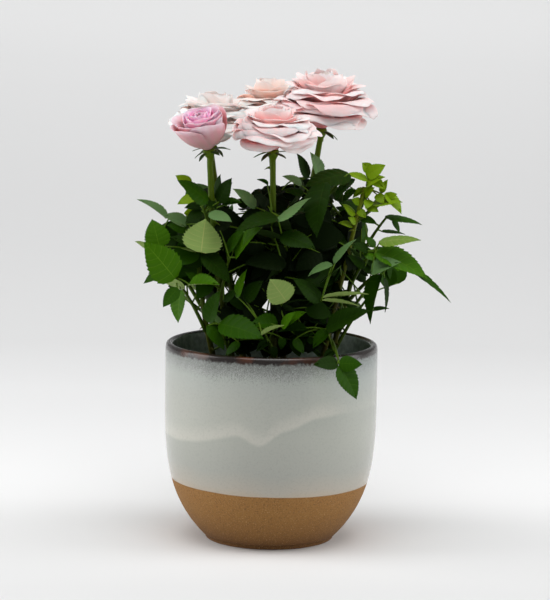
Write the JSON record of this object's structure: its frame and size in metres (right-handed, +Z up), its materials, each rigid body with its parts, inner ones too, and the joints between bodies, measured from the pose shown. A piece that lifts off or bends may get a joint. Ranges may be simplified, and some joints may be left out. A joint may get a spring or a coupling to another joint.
{
  "type": "potted rose bush",
  "caption": "Compact rose bush in flower, with leafy sprays on upright canes, growing in a round stoneware pot with a glazed side and a bare clay foot.",
  "frame": {"origin": "centre of the pot's flat underside", "axes": "+Z up along the pot's axis, -Y towards the front, +X to the right seen from the front"},
  "size_m": [0.2199, 0.189, 0.3299],
  "materials": {
    "stoneware": "speckled grey-green glaze over a bare tan clay foot, with a dark iron rim",
    "potting_mix": "dark moist potting mix",
    "cane_green": "smooth green cane, browner towards its foot",
    "cane_young": "yellow-green young cane",
    "leaf_green": "glossy dark green leaflets, paler and matt beneath",
    "leaf_young": "soft yellow-green young leaflets",
    "petal_pink": "matt soft pink petals",
    "petal_rose": "matt rose-pink petals",
    "petal_pale": "matt pale cream-pink petals",
    "petal_peach": "matt pale peach petals"
  },
  "bodies": {
    "root": {"pot": "stoneware", "soil": "potting_mix", "cane_right": "cane_green", "cane_front": "cane_green", "cane_left": "cane_green", "cane_back_left": "cane_green", "cane_back": "cane_green", "cane_young": "cane_young", "cane_side_left": "cane_green", "cane_side_right": "cane_green", "bloom_right": "petal_pink", "bloom_front": "petal_pink", "bloom_left": "petal_rose", "bloom_back_left": "petal_pale", "bloom_back": "petal_peach", "spray_front_left_low": "leaf_green", "spray_left": "leaf_green", "spray_left_light": "leaf_green", "spray_left_far": "leaf_green", "spray_upper_left": "leaf_green", "spray_young_left": "leaf_young", "spray_crown_left": "leaf_green", "spray_crown_left_front": "leaf_green", "spray_crown_front": "leaf_green", "spray_centre_left": "leaf_green", "spray_centre_dark": "leaf_green", "spray_centre_light": "leaf_green", "spray_front_low": "leaf_green", "spray_crown_right_up": "leaf_green", "spray_crown_right": "leaf_green", "spray_right_hanging": "leaf_green", "spray_young_right_top": "leaf_young", "spray_young_right": "leaf_young", "spray_right_top": "leaf_green", "spray_right_light": "leaf_green", "spray_right_far": "leaf_green", "spray_right_low": "leaf_green", "spray_right_front": "leaf_green", "spray_right_front_low": "leaf_green", "spray_right_centre": "leaf_green", "spray_trailing": "leaf_green", "spray_back_low_1": "leaf_green", "spray_back_low_2": "leaf_green", "spray_back_low_3": "leaf_green", "spray_back_low_4": "leaf_green", "spray_back_low_5": "leaf_green", "spray_back_mid_1": "leaf_green", "spray_back_mid_2": "leaf_green", "spray_back_mid_3": "leaf_green", "spray_back_mid_4": "leaf_green", "spray_back_top_1": "leaf_green", "spray_back_top_2": "leaf_green"}
  },
  "joints": []
}
